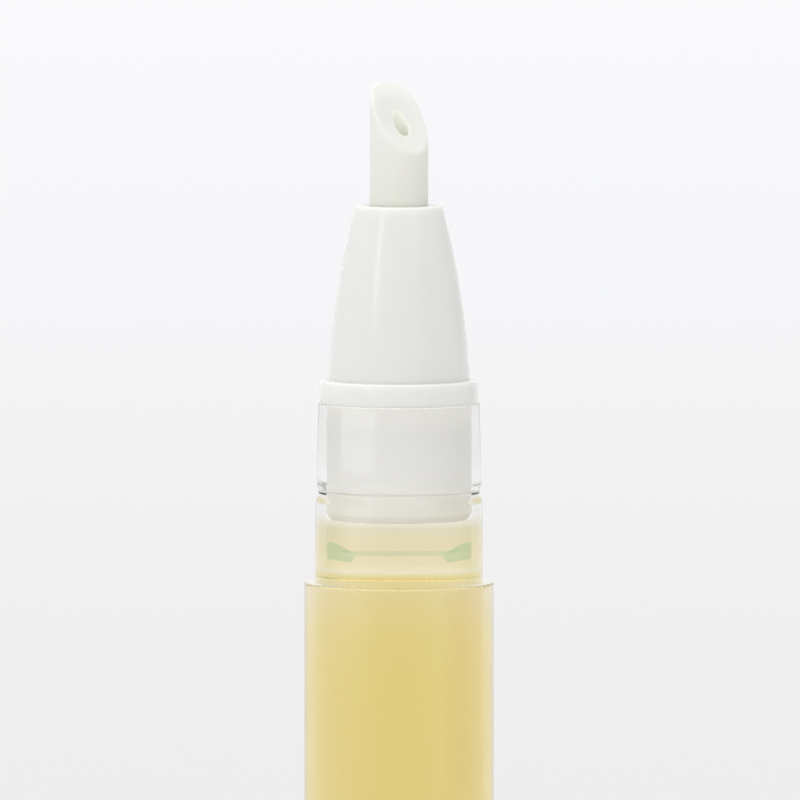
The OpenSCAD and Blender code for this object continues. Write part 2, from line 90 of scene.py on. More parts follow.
class PenSizes(bpy.types.PropertyGroup):
    """Sizes of the pieces that are shaped here. The frame gives all the others."""
    neck_h: length("Neck height", "From the barrel's shoulder to the neck's rim", 10.9)
    neck_d: length("Neck foot diameter", "Outside diameter between the shoulder and the cap groove", 10.16)
    neck_upper_d: length("Upper neck diameter", "Outside diameter above the cap groove", 9.97)
    neck_rim_d: length("Rim diameter", "Outside diameter at the neck's rim", 9.78)
    groove_h: length("Cap groove height", "From the shoulder to the cap groove's middle", 5.5)
    groove_w: length("Cap groove width", "Width of the cap groove's floor", 0.4)
    groove_d: length("Cap groove depth", "Depth of the cap groove below the upper neck", 0.09)
    neck_bore_d: length("Neck bore", "Bore of the neck", 5.9)
    bore_d: length("Oil bore", "Bore of the barrel round the oil", 7.7)
    step_h: length("Bore step height", "From the shoulder to the top of the bore's step", 0.9)
    step_rise: length("Bore step rise", "From the wide bore up to the neck's bore", 0.35)
    mouth_c: length("Mouth chamfer", "Lead-in at the mouth of the neck", 0.55)
    pocket_d: length("Pocket diameter", "Rear pocket that holds the mechanism", 8.6)
    pocket_h: length("Pocket depth", "Depth of the rear pocket", 30.0)
    shoulder_r: length("Shoulder rounding", "Rounding of the barrel's shoulder", 0.15)
    collar_h: length("Collar height", "Height of the nose cone's collar", 1.4)
    collar_d: length("Collar diameter", "Diameter of the collar at its foot", 9.66)
    collar_draft: length("Collar draft", "Taper of the collar on its diameter", 0.2)
    cone_foot_d: length("Cone foot diameter", "Diameter of the cone above the collar", 8.6)
    cone_top_d: length("Cone top diameter", "Diameter of the cone's flat top", 5.26)
    cone_bulge: length("Cone bulge", "Outward bulge of the cone's side", 0.27)
    bead_h: length("Snap bead height", "From the plug's lower end to its bead", 1.65)
    bead_w: length("Snap bead width", "Width of the plug's bead", 0.5)
    bead_d: length("Snap bead reach", "How far the bead stands out of the plug", 0.2)
    plug_lead: length("Plug taper", "Height of the taper at the plug's end", 0.4)
    tip_d: length("Tip diameter", "Diameter of the soft tip", 3.55)
    tip_seat: length("Tip seat depth", "Length of the tip inside the cone's top", 4.3)
    face_h: length("Face height", "From the cone's top to the centre of the slanted face", 5.8)
    crown_r: length("Crown reach", "Reach of the face from its centre", 2.26)
    tip_grain: length("Tip fineness", "Mesh spacing of the tip", 0.05)
    scoop_r: length("Scoop radius", "Radius of the hollow in the face", 8.0)
    scoop_d: length("Scoop depth", "Depth of the hollow under the face's plane", 0.5)
    scoop_at: length("Scoop place", "From the face's centre down the slant", 1.6)
    film_h: length("Film height", "From the shoulder to the film on the oil", 1.84)
    film_t: length("Film thickness", "Thickness of the film in its middle", 0.1)
    outlet_d: length("Outlet diameter", "Diameter of the outlet hole", 0.9)
    outlet_x: length("Outlet offset to the right", "From the pen's axis", 0.12)
    outlet_y: length("Outlet offset to the front", "From the pen's axis", 0.16)
    seat_fit: length("Seat clearance", "Radial clearance of fixed fits", 0.02)
    edge_r: length("Edge rounding", "Rounding of the outer edges", 0.35)
    knob_wall: length("Knob wall", "Wall of the knob", 0.85)
    knob_web: length("Knob web", "Height of the knob's solid upper part", 10.0)
    cap_bore_d: length("Cap bore", "Bore of the cap's mouth", 10.4)
    cap_end: length("Cap end", "Thickness of the cap's end wall", 1.2)
    face_slant: FloatProperty(name="Face slant", description="Slant of the tip's face from level",
                              default=radians(48.8), subtype="ANGLE")
    face_turn: FloatProperty(name="Face turn", description="Turn of the tip's face about the pen",
                             default=radians(-53), subtype="ANGLE")
    sides: IntProperty(name="Sides", description="Sides of a turned piece", default=160, min=32, max=256)


class PenColours(bpy.types.PropertyGroup):
    """Colours of the pen and of the floor."""
    tip: tint("Soft tip", "Elastomer of the applicator", (0.78, 0.785, 0.745))
    # darker and yellower towards the cone
    tip_foot: tint("Tip foot", "Tint of the soft tip above the cone", (0.95, 0.945, 0.905))
    # painted light: the soft tip's face glows a little
    tip_face_painted_light: tint("Face light", "Light that the soft body leads to its face", (0.035, 0.037, 0.037))
    outlet: tint("Outlet", "Oil-stained wall of the outlet hole", (0.84, 0.84, 0.68))
    # painted light: the outlet hole glows where it would lie in shade
    outlet_painted_light: tint("Outlet light", "Light that the soft body leads into the outlet", (0.09, 0.09, 0.11))
    milk: tint("Milky plastic", "Nose cone and cap", (0.752, 0.758, 0.732))
    # painted light: the milky plastic painted lighter where it stands in the neck
    plug_milk_painted_light: tint("Wet milky plastic", "The plug in the neck", (0.975, 0.973, 0.96))
    plug_foot: tint("Plug foot", "The plug's lower end, stained by the oil", (0.975, 0.9584, 0.8928))
    # painted light: the plug glows, most under the collar
    glow: tint("Plug light", "Light that the milky plastic leads into the plug", (0.124, 0.121, 0.112))
    white: tint("White plastic", "Moulded inner pieces", (0.80, 0.80, 0.78))
    knob: tint("Knob plastic", "Tail knob and end plug", (0.82, 0.82, 0.80))
    rubber: tint("Drag ring", "Rubber of the drag ring", (0.030, 0.030, 0.033))
    clear: tint("Clear plastic", "Barrel", (0.985, 0.99, 0.985))
    frost: tint("Frosted edge", "Frosted edge of the barrel's shoulder", (0.95, 0.92, 0.80))
    oily_frost: tint("Oily edge", "Frosted edge where oil stands behind it", (0.88, 0.78, 0.45))
    rim: tint("Frosted rim", "Frosted edge of the neck's rim", (0.95, 0.95, 0.92))
    oil: tint("Oil", "Oil's own colour", (0.88, 0.78, 0.167))
    # painted light: these three tints make the oil paler towards the neck
    oil_low: tint("Deep oil", "Tint deep in the barrel", (1.0, 0.925, 0.62))
    oil_high: tint("High oil", "Tint half a centimetre under the shoulder", (1.0, 0.93, 0.69))
    oil_top: tint("Top oil", "Tint under the shoulder", (1.0, 0.96, 0.93))
    oil_neck: tint("Neck oil", "Oil in the neck, inside the tinted wall", (0.975, 0.965, 0.92))
    # the oil's colour, with painted light and shade in bands up the neck's wall
    neck_low: tint("Neck foot", "Tint of the neck's wall a little above the shoulder", (0.98, 0.925, 0.71))
    neck_pale: tint("Pale neck", "Tint of the neck's wall under the film", (0.96, 0.865, 0.57))
    neck_mid: tint("Neck middle", "Tint of the neck's wall round the oil", (0.925, 0.83, 0.55))
    neck_high: tint("Neck top", "Tint of the neck's wall under the plug", (0.87, 0.82, 0.62))
    # painted shade at both sides of the neck
    neck_side: tint("Neck side", "Further tint at both sides of the oil in the neck", (0.86, 0.88, 0.74))
    clear_side: tint("Upper neck side", "Further tint at both sides of the upper neck", (0.875, 0.875, 0.85))
    # painted light and shade: oil-coloured at both sides of the barrel
    barrel_side: tint("Barrel side", "Further tint at both sides of the barrel", (0.92, 0.83, 0.71))
    # painted reflection: the green tints of the film on the oil
    reflection_film: tint("Film", "Film on the oil's surface", (0.82, 0.93, 0.91))
    reflection_film_end: tint("Film end", "Film where it climbs the wall", (0.74, 0.91, 0.86))
    floor: tint("Floor", "Studio floor far from the pen", (0.830, 0.834, 0.849))


class Value:
    """A socket of a shader. Python's operators on it add Math nodes, also with a number on their left."""

    def __init__(self, shader, socket):
        self.shader = shader
        self.socket = socket

    def math(self, operation, *inputs):
        return self.shader.node("ShaderNodeMath", {"operation": operation}, dict(enumerate(inputs)))

    def __add__(self, other):
        return self.math("ADD", self, other)

    def __radd__(self, other):
        return self.math("ADD", other, self)

    def __sub__(self, other):
        return self.math("SUBTRACT", self, other)

    def __rsub__(self, other):
        return self.math("SUBTRACT", other, self)

    def __mul__(self, other):
        return self.math("MULTIPLY", self, other)

    def __rmul__(self, other):
        return self.math("MULTIPLY", other, self)

    def __abs__(self):
        return self.math("ABSOLUTE", self)


def fill_ramp(ramp, stops, interpolation):
    """Gives a colour ramp its stops, each (place from 0 to 1, colour)."""
    elements = ramp.elements
    ramp.interpolation = interpolation
    for element, (at, colour) in ((elements[0], stops[0]), (elements[-1], stops[-1])):
        element.position, element.color = at, (*colour, 1)
    for at, colour in stops[1:-1]:
        elements.new(at).color = (*colour, 1)


class Shader:
    """The nodes of a material or of the world, put together one by one."""

    def __init__(self, owner, end, place):
        owner.use_nodes = True
        self.owner = owner
        self.tree = owner.node_tree
        self.tree.nodes.clear()
        self.end = self.tree.nodes.new(end)
        self.place = self.node("ShaderNodeTexCoord", {}, {}, place)

    def node(self, kind, settings, inputs, output=0):
        """Adds a node, sets it, fills its sockets with numbers or links, and gives one of its outputs."""
        made = self.tree.nodes.new(kind)
        for name, value in settings.items():
            if name == "ramp":
                fill_ramp(made.color_ramp, *value)
            else:
                setattr(made, name, value)
        for name, value in inputs.items():
            if isinstance(value, Value):
                self.tree.links.new(value.socket, made.inputs[name])
            else:
                made.inputs[name].default_value = value
        return Value(self, made.outputs[output])

    def finish(self, **ends):
        """Links values to the output's sockets of the same names, and gives the material or the world."""
        for name, value in ends.items():
            self.tree.links.new(value.socket, self.end.inputs[name])
        return self.owner

    def plastic(self, inputs, **ends):
        """Ends in the Principled surface with these inputs, and gives the material."""
        return self.finish(Surface=self.node("ShaderNodeBsdfPrincipled", {}, inputs), **ends)

    def noise(self, scale, detail=2.0, place=None):
        """Cloudy noise round a half."""
        inputs = {"Vector": place or self.place, "Scale": scale, "Detail": detail}
        return self.node("ShaderNodeTexNoise", {}, inputs, "Fac")

    def vector(self, operation, *inputs, output=0):
        return self.node("ShaderNodeVectorMath", {"operation": operation}, dict(enumerate(inputs)), output)

    def axis(self, name):
        """The place along one axis of the pen."""
        return self.node("ShaderNodeSeparateXYZ", {}, {"Vector": self.place}, name)

    def between(self, value, low, high, to_low=0.0, to_high=1.0):
        """value's way from low to high, clamped and mapped to to_low and to_high."""
        return self.node("ShaderNodeMapRange", {"clamp": True}, {
            "Value": value, "From Min": low, "From Max": high, "To Min": to_low, "To Max": to_high})

    def uneven(self, noise, low, high):
        """A number that wanders between low and high with a noise."""
        return self.between(noise, 0.3, 0.7, low, high)

    def bump(self, height, distance, strength):
        return self.node("ShaderNodeBump", {}, {"Height": height, "Distance": distance, "Strength": strength})

    def mix(self, factor, first, second, blend="MIX"):
        """A mix of two colours. Its colour sockets go by number, because their names aren't unique."""
        colours = {k: v if isinstance(v, Value) else (*v, 1) for k, v in ((6, first), (7, second))}
        return self.node("ShaderNodeMix", {"data_type": "RGBA", "blend_type": blend},
                         {"Factor": factor, **colours}, 2)

    def multiply(self, first, second):
        """The product of two colours."""
        return self.mix(1.0, first, second, "MULTIPLY")

    def shade(self, factor, colour, share):
        """A colour that goes to a share of itself as factor rises."""
        return self.mix(factor, colour, [c * share for c in colour])

    def ramp(self, value, stops, interpolation="LINEAR"):
        """A colour that runs through stops, each (place from 0 to 1, colour)."""
        return self.node("ShaderNodeValToRGB", {"ramp": (stops, interpolation)}, {"Fac": value})

    def greys(self, value, stops, interpolation="LINEAR"):
        """A grey that runs through stops, each (place from 0 to 1, brightness)."""
        return self.ramp(value, [(at, (grey, grey, grey)) for at, grey in stops], interpolation)

    def band(self, value, low, high, colour, shares):
        """White with shares of a colour on value's way from low to high, each (place from 0 to 1, share)."""
        return self.mix(self.greys(self.between(value, low, high), shares), WHITE, colour)


def material(name):
    """The shader of a new material."""
    return Shader(bpy.data.materials.new(name), "ShaderNodeOutputMaterial", "Object")


def soft_tip_finish(sizes, colours):
    """Matt translucent elastomer, stained round the outlet, with painted light on its face and in its outlet.
    """
    s = material("soft_tip")
    height = s.axis("Z")
    from_outlet = s.vector("SUBTRACT", s.place, (sizes.outlet_x, -sizes.outlet_y, 0))
    away = s.vector("LENGTH", s.vector("MULTIPLY", from_outlet, (1, 1, 0)), output="Value")
    outlet_r = sizes.outlet_d / 2
    stain = s.between(away, outlet_r * 0.65, outlet_r * 1.35, 1, 0)
    # darker and yellower towards the cone
    foot = s.between(height, NOSE_HIGH.z, NOSE_HIGH.z + 4 * MM, 1, 0)
    # where the face gets its painted light
    face = s.between(height, NOSE_HIGH.z + 5.4 * MM, NOSE_HIGH.z + 6.8 * MM)
    cloud = s.noise(900, 3)
    grain = s.noise(9000) * 0.6 + s.noise(2500) * 0.4
    body = s.multiply(s.shade(cloud, colours.tip, 0.97), s.mix(foot, WHITE, colours.tip_foot))
    return s.plastic({
        "Base Color": s.mix(stain, body, colours.outlet),
        "Roughness": s.uneven(cloud, 0.42, 0.54),
        "IOR": 1.43,
        "Subsurface Weight": 0.3,
        "Subsurface Radius": (1.0, 0.95, 0.8),
        "Subsurface Scale": 0.5 * MM,
        "Specular IOR Level": 0.1,
        # painted light on the face and in the outlet
        "Emission Color": s.mix(stain, s.mix(face, BLACK, colours.tip_face_painted_light), colours.outlet_painted_light),
        "Emission Strength": 1.0,
        "Normal": s.bump(grain, 0.004 * MM, 0.5),
    })


def milky_finish(colours):
    """Milky polypropylene with a soft mould gloss."""
    s = material("milky_plastic")
    cloud, orange_peel = s.noise(350, 3), s.noise(1400)
    return s.plastic({
        "Base Color": s.shade(cloud, colours.milk, 0.975),
        "Roughness": s.uneven(cloud, 0.126, 0.161),
        "IOR": 1.4,
        "Subsurface Weight": 1.0,
        "Subsurface Radius": (1.0, 1.0, 0.92),
        "Subsurface Scale": 0.9 * MM,
        "Normal": s.bump(orange_peel, 0.0012 * MM, 0.5),
    })


def plug_finish(colours):
    """The same plastic where it stands wet in the neck, without a gloss of its own, painted lighter. Painted
    light comes out of it, most under the collar, in place of light that the cone takes in."""
    s = material("wet_plug_painted_light")
    height = s.axis("Z")
    # where the painted light under the collar is strongest
    under = s.between(height, BARREL_HIGH.z - 1.6 * MM, BARREL_HIGH.z)
    stained = s.between(height, NOSE_LOW.z, NOSE_LOW.z + 2.8 * MM, 1, 0)
    clean = s.shade(s.noise(350, 3), colours.plug_milk_painted_light, 0.985)
    # painted shade: the plug is a little darker in its upper half
    grey = s.greys(s.between(height, NOSE_LOW.z, BARREL_HIGH.z),
                   ((0.0, 1.0), (0.4, 0.99), (0.46, 0.97), (1.0, 0.97)))
    return s.plastic({
        "Base Color": s.multiply(s.mix(stained, clean, colours.plug_foot), grey),
        "Roughness": 0.5,
        "IOR": 1.0,
        # painted light, most under the collar
        "Emission Color": s.shade(under, colours.glow, 2.4),
        "Emission Strength": 1.0,
    })


def moulded_finish(name, colour, roughness):
    """Satin moulded plastic with faint flow marks along the pen."""
    s = material(name)
    stretched = s.node("ShaderNodeMapping", {}, {"Vector": s.place, "Scale": (1, 1, 0.12)})
    flow, grain = s.noise(1100, 3, stretched), s.noise(6000)
    return s.plastic({
        "Base Color": s.shade(flow, colour, 0.95),
        "Roughness": s.uneven(grain, roughness * 0.85, roughness * 1.2),
        "IOR": 1.49,
        "Subsurface Weight": 0.3,
        "Subsurface Radius": (1, 1, 1),
        "Subsurface Scale": 0.4 * MM,
        "Normal": s.bump(grain * 0.5 + flow * 0.5, 0.003 * MM, 0.5),
    })


def rubber_finish(colours):
    """Moulded rubber with a dull bloom."""
    s = material("ring_rubber")
    bloom = s.noise(2500, 4)
    return s.plastic({
        "Base Color": s.shade(bloom, colours.rubber, 2.2),
        "Roughness": s.uneven(bloom, 0.45, 0.7),
        "Normal": s.bump(bloom, 0.006 * MM, 0.6),
    })


def clear_finish(s, wall, sides, roughness):
    """Clear moulded plastic, thick enough to bend what stands behind it. wall is its colour, and sides a
    further tint of its two sides, which is painted light and shade."""
    return s.plastic({
        "Base Color": s.multiply(wall, sides),
        "Roughness": s.uneven(s.noise(260, 3), roughness * 0.85, roughness * 1.15),
        "IOR": 1.5,
        "Transmission Weight": 1.0,
        "Normal": s.bump(s.noise(180, 1), 0.002 * MM, 0.12),
    })


def neck_finish(sizes, colours):
    """The clear neck, whose lower part carries the oil's colour with painted light and shade in bands, and
    painted shade at its two sides.
    """
    s = material("clear_polished")
    across, height = abs(s.axis("X")), s.axis("Z")
    foot = BARREL_HIGH.z - sizes.neck_h
    plug = foot + 4 * MM
    # the oil's colour, with painted light and shade in bands
    wall = s.ramp(s.between(height, foot, plug), (
        (0.0, WHITE), (0.08, WHITE), (0.14, colours.neck_low), (0.22, colours.neck_pale),
        (0.34, colours.neck_pale), (0.4, colours.neck_mid), (0.62, colours.neck_mid),
        (0.82, colours.neck_high), (0.88, colours.neck_high), (0.96, colours.clear)))
    # painted shade at both sides
    lower = s.band(across, 3 * MM, 5 * MM, colours.neck_side,
                   ((0.0, 0.0), (0.35, 0.4), (0.6, 1.0), (0.84, 1.0), (0.93, 0.35), (1.0, 0.3)))
    upper = s.band(across, 4 * MM, 5 * MM, colours.clear_side,
                   ((0.0, 0.0), (0.36, 0.0), (0.5, 0.9), (0.6, 1.0), (0.82, 1.0), (1.0, 0.3)))
    sides = s.mix(s.between(height, plug - 0.6 * MM, plug), lower, upper)
    return clear_finish(s, wall, sides, 0.055)


def barrel_finish(colours):
    """The clear barrel below the shoulder, with painted oil-coloured light and shade at its two sides."""
    s = material("clear_satin")
    # painted oil-coloured light and shade at both sides, more on the right
    sides = s.band(s.axis("X"), -5.5 * MM, 5.5 * MM, colours.barrel_side, (
        (0.0, 0.0), (0.03, 0.1), (0.068, 0.4), (0.19, 0.3), (0.27, 0.0), (0.73, 0.0), (0.81, 0.8),
        (0.88, 1.1), (0.94, 1.1), (0.97, 0.3), (1.0, 0.0)))
    return clear_finish(s, colours.clear, sides, 0.09)


def frosted_finish(name, front, rest, front_painted_light, rest_painted_light, turn=(-5.1, -3.0)):
    """Frosted edge of the clear plastic, in one colour at the front, where oil stands behind it, and in
    another behind turn's two places along Y, in millimetres. The glows are painted light on the two, in place
    of the light that the wall leads there."""
    s = material(name)
    frost = s.noise(3000, 3)
    around = s.between(s.axis("Y"), turn[0] * MM, turn[1] * MM)
    return s.plastic({
        "Base Color": s.mix(around, front, rest),
        "Roughness": s.uneven(frost, 0.2, 0.3),
        "IOR": 1.5,
        "Transmission Weight": 0.5,
        "Normal": s.bump(frost, 0.002 * MM, 0.3),
        # painted light on the frosted edge
        "Emission Color": s.mix(around, [c * front_painted_light for c in front], [c * rest_painted_light for c in rest]),
        "Emission Strength": 1.0,
    })


def wetted_finish(colours):
    """Bore wall that oil or a tight plug wets, so that no light bends there."""
    return material("wetted_wall").plastic({**STRAIGHT, "Base Color": (*colours.clear, 1), "Alpha": 0.0})


def oil_finish(colours):
    """Clear yellow oil that takes up more light the further it runs in it, with painted light that makes it
    paler towards the neck. It doesn't bend light, because the wetted wall round it doesn't."""
    s = material("oil")
    absorbed = s.node("ShaderNodeVolumeAbsorption", {}, {"Color": (*colours.oil, 1), "Density": 160.0})
    height = s.axis("Z") + s.noise(120) * (0.6 * MM) - 0.3 * MM
    # painted light: the oil pales towards the neck
    painted_light_tints = s.ramp(s.between(height, OIL_HIGH.z - 10 * MM, OIL_HIGH.z), (
        (0.0, colours.oil_low), (0.32, colours.oil_low), (0.64, colours.oil_high), (0.92, colours.oil_top),
        (1.0, WHITE)))
    return s.plastic({**STRAIGHT, "Base Color": painted_light_tints}, Volume=absorbed)


def tint_finish(name, colour):
    """A face that lets light straight through and colours it, such as the side of the oil in the neck."""
    s = material(name)
    return s.plastic({**STRAIGHT, "Base Color": s.shade(s.noise(300), colour, 0.99)})


def floor_finish(colours):
    """Matt pale floor with painted light, which lightens it away from the pen."""
    s = material("studio_floor")
    # painted light: darker near the pen, lighter far away
    shades = ((0.04, 0.892, 0.874, 0.866), (0.27, 0.927, 0.921, 0.907), (0.45, 0.955, 0.957, 0.957),
              (0.88, 0.996, 0.996, 0.996))
    stops = [(at, [c * k for c, k in zip(colours.floor, shade)]) for at, *shade in shades]
    away = s.between(s.vector("LENGTH", s.place, output="Value"), 0.9, 2.9)
    return s.plastic({
        "Base Color": s.ramp(away, stops),
        "Roughness": 0.9,
        "Specular IOR Level": 0.0,
        "Normal": s.bump(s.noise(40, 3), 0.01 * MM, 0.1),
    })


def deselect():
    bpy.ops.object.select_all(action="DESELECT")


def edit(select="SELECT"):
    """Edit mode on the active piece, with everything or nothing selected."""
    bpy.ops.object.mode_set(mode="EDIT")
    bpy.ops.mesh.select_all(action=select)


def choose(piece):
    """Makes the piece the active object, and the only selected one."""
    deselect()
    bpy.context.view_layer.objects.active = piece
    piece.select_set(True)


def name_piece(name):
    """Names the active piece and its mesh."""
    piece = bpy.context.object
    piece.name = piece.data.name = name
    return piece


def turned(name, rings, centre=(0, 0), hollow=False, sides=None):
    """A piece made like one on a lathe: a circle on the first (radius, height) is extruded through the rest.
    A hollow piece's outline runs round its wall and closes; a solid one is capped at both ends."""
    deselect()
    sides = sides or bpy.context.scene.pen_sizes.sides
    r, z = rings[0]
    bpy.ops.mesh.primitive_circle_add(vertices=sides, radius=r, fill_type="NOTHING" if hollow else "TRIFAN",
                                      location=(*centre, z))
    piece = name_piece(name)
    edit()
    for next_r, next_z in rings[1:] + (rings[:1] if hollow else []):
        bpy.ops.mesh.extrude_region_move(TRANSFORM_OT_translate={"value": (0, 0, next_z - z)})
        if next_r != r:
            grow = next_r / r
            bpy.ops.transform.resize(value=(grow, grow, 1), center_override=(*centre, next_z))
        r, z = next_r, next_z
    bpy.ops.mesh.select_all(action="SELECT")
    bpy.ops.mesh.remove_doubles(threshold=1e-7)
    bpy.ops.mesh.normals_make_consistent(inside=False)
    bpy.ops.object.mode_set(mode="OBJECT")
    bpy.ops.object.transform_apply(location=True, rotation=True, scale=True)
    return piece


def pick_edges(piece, test):
    """Selects the edges of the active piece, in edit mode, whose two ends pass test."""
    bpy.ops.mesh.select_mode(type="EDGE")
    mesh = bmesh.from_edit_mesh(piece.data)
    for edge in mesh.edges:
        edge.select_set(all(test(v.co) for v in edge.verts))
    bmesh.update_edit_mesh(piece.data)


def round_rings(piece, places, width, segments=4, centre=(0, 0)):
    """Bevels the ring edges at places, each (radius, height)."""
    choose(piece)
    edit("DESELECT")
    middle = Vector(centre)
    near = 2e-6

    def on_ring(co):
        r = (co.xy - middle).length
        return any(abs(r - ring_r) < near and abs(co.z - ring_z) < near for ring_r, ring_z in places)

    pick_edges(piece, on_ring)
    bpy.ops.mesh.bevel(offset_type="OFFSET", offset=width, segments=segments, profile=0.5, affect="EDGES",
                       clamp_overlap=True)
    bpy.ops.object.mode_set(mode="OBJECT")


def modify(piece, kind, **settings):
    """Adds a modifier to the piece and applies it."""
    choose(piece)
    made = piece.modifiers.new(kind.lower(), kind)
    for name, value in settings.items():
        setattr(made, name, value)
    bpy.ops.object.modifier_apply(modifier=made.name)


def smooth(piece, angle=32, weigh=True):
    """Smooth shading up to an angle in degrees, led by the large faces."""
    choose(piece)
    bpy.ops.object.shade_smooth_by_angle(angle=radians(angle))
    if weigh:
        modify(piece, "WEIGHTED_NORMAL", keep_sharp=True, weight=80)


def arc(start, end, bulge, steps):
    """Points of an arc between two (radius, height) points that bulges outwards, ends included."""
    p, q = Vector(start), Vector(end)
    chord = q - p
    half = chord.length / 2
    radius = (half * half + bulge * bulge) / (2 * bulge)
    out = Vector((chord.y, -chord.x)).normalized()
    middle = (p + q) / 2 - out * (radius - bulge)
    reach = asin(half / radius)
    along = chord.normalized()
    turns = [reach * (2 * i / steps - 1) for i in range(steps + 1)]
    return [tuple(middle + out * radius * cos(a) + along * radius * sin(a)) for a in turns]


def dress(piece, body, slot, *materials):
    """Gives a piece its materials and its body. slot is not used."""
    piece.data.materials.clear()
    for material in materials:
        piece.data.materials.append(material)
    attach(piece, body)


def dress_node(name, material):
    """Gives a CAD node a finish."""
    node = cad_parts[name]
    node.data.materials.clear()
    node.data.materials.append(material)


def paint(piece, index, test):
    """Puts the material of this index on the faces whose centre and normal pass test."""
    for face in piece.data.polygons:
        if test(face.center, face.normal):
            face.material_index = index


class PEN_OT_barrel(bpy.types.Operator):
    """Clear barrel with its neck, cap groove, rounded shoulder and stepped bore"""
    bl_idname = "pen.barrel"
    bl_label = "Barrel"

    def execute(self, context):
        s, colours = context.scene.pen_sizes, context.scene.pen_colours
        out_r, rear, rim = BARREL_HIGH.x, BARREL_LOW.z, BARREL_HIGH.z
        shoulder = rim - s.neck_h
        step = shoulder + s.step_h
        bore_r, neck_bore_r, pocket_r = s.bore_d / 2, s.neck_bore_d / 2, s.pocket_d / 2
        upper_r, foot_r, rim_r = s.neck_upper_d / 2, s.neck_d / 2, s.neck_rim_d / 2
        groove = shoulder + s.groove_h - s.groove_w / 2
        floor_r = upper_r - s.groove_d
        bead = NOSE_LOW.z + s.bead_h
        bead_r = neck_bore_r + s.bead_d
        pocket_top = rear + s.pocket_h
        edge = s.edge_r / 2
        piece = turned("clear_barrel", [
            (pocket_r, rear), (out_r, rear), (out_r, shoulder), (foot_r, shoulder),
            (foot_r, groove - s.groove_w), (upper_r, groove - s.groove_w / 2), (floor_r, groove),
            (floor_r, groove + s.groove_w), (upper_r, groove + s.groove_w * 1.5),
            (upper_r, rim - s.neck_h / 3), (rim_r, rim), (neck_bore_r + s.mouth_c, rim),
            (neck_bore_r, rim - s.mouth_c), (neck_bore_r, bead + s.bead_w), (bead_r, bead + s.bead_w * 2 / 3),
            (bead_r, bead + s.bead_w / 3), (neck_bore_r, bead), (neck_bore_r, step),
            (bore_r, step - s.step_rise), (bore_r, pocket_top), (pocket_r, pocket_top),
        ], hollow=True)
        round_rings(piece, [(out_r, rear)], edge)
        round_rings(piece, [(rim_r, rim)], edge / 3, 3)
        round_rings(piece, [(out_r, shoulder)], s.shoulder_r, 6)
        round_rings(piece, [(pocket_r, pocket_top)], edge / 2, 3)
        round_rings(piece, [(foot_r, groove - s.groove_w), (upper_r, groove - s.groove_w / 2),
                            (floor_r, groove), (floor_r, groove + s.groove_w),
                            (upper_r, groove + s.groove_w * 1.5)], s.groove_w / 5, 3)
        round_rings(piece, [(neck_bore_r + s.mouth_c, rim), (neck_bore_r, rim - s.mouth_c),
                            (neck_bore_r, step), (bore_r, step - s.step_rise)], edge / 3, 3)
        smooth(piece)
        dress(piece, "barrel", "clear_plastic", neck_finish(s, colours), wetted_finish(colours),
              barrel_finish(colours),
              # the numbers after the colours are painted light at the front and behind
              frosted_finish("clear_edge", colours.oily_frost, colours.frost, 0.0, 0.42, (1.5, 4.0)),
              frosted_finish("clear_ledge", colours.oily_frost, colours.frost, 0.03, 0.22),
              frosted_finish("clear_rim", colours.rim, colours.rim, 0.02, 0.02))
        wetted, satin, frosted_edge, frosted_ledge, frosted_rim = range(1, 6)
        in_mouth = rim_r - s.mouth_c
        paint(piece, wetted, lambda at, normal: at.xy.length < bore_r + s.seat_fit and at.z > PISTON_LOW.z)
        paint(piece, wetted, lambda at, normal: at.xy.length < in_mouth and at.z > rim - s.mouth_c)
        paint(piece, satin, lambda at, normal: at.xy.length > foot_r and at.z < shoulder + s.seat_fit)
        paint(piece, frosted_edge,
              lambda at, normal: at.xy.length > foot_r and abs(at.z - shoulder) < s.shoulder_r)
        paint(piece, frosted_rim, lambda at, normal: at.xy.length > in_mouth and at.z > rim - edge / 2)
        paint(piece, frosted_ledge, lambda at, normal: normal.z > 0.95 and abs(at.z - shoulder) < s.seat_fit)
        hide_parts("barrel_tube")
        return {"FINISHED"}


class PEN_OT_nose(bpy.types.Operator):
    """Milky nose cone with its collar, snap bead and plug"""
    bl_idname = "pen.nose"
    bl_label = "Nose cone"

    def execute(self, context):
        s, colours = context.scene.pen_sizes, context.scene.pen_colours
        foot, top, rim = NOSE_LOW.z, NOSE_HIGH.z, BARREL_HIGH.z
        ledge = rim + s.collar_h
        plug_r = s.neck_bore_d / 2 - s.seat_fit
        tip_hole = s.tip_d / 2 + s.seat_fit
        room_r = (TIP_HIGH.x - TIP_LOW.x) / 2 + 2 * s.seat_fit
        seat = top - s.tip_seat + s.seat_fit
        bead = foot + s.bead_h
        bead_r = plug_r + s.bead_d
        collar_r = s.collar_d / 2
        collar_top_r = collar_r - s.collar_draft / 2
        foot_r, top_r = s.cone_foot_d / 2, s.cone_top_d / 2
        edge = s.edge_r / 3
        piece = turned("nose", [
            (room_r, foot), (plug_r - s.plug_lead / 2, foot), (plug_r, foot + s.plug_lead), (plug_r, bead),
            (bead_r, bead + s.bead_w / 3), (bead_r, bead + s.bead_w * 2 / 3), (plug_r, bead + s.bead_w),
            (plug_r, rim), (collar_r, rim), (collar_top_r, ledge),
        ] + arc((foot_r, ledge), (top_r, top), s.cone_bulge, 28) + [
            (tip_hole, top), (tip_hole, seat), (room_r, seat)], hollow=True)
        round_rings(piece, [(collar_top_r, ledge), (top_r, top)], edge, 4)
        round_rings(piece, [(tip_hole, top), (foot_r, ledge)], edge / 2, 3)
        round_rings(piece, [(plug_r - s.plug_lead / 2, foot), (plug_r, foot + s.plug_lead)], edge, 4)
        smooth(piece)
        dress(piece, "barrel", "milky_plastic", milky_finish(colours), plug_finish(colours))
        paint(piece, 1, lambda at, normal: at.z < rim)
        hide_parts("nose_cone")
        return {"FINISHED"}


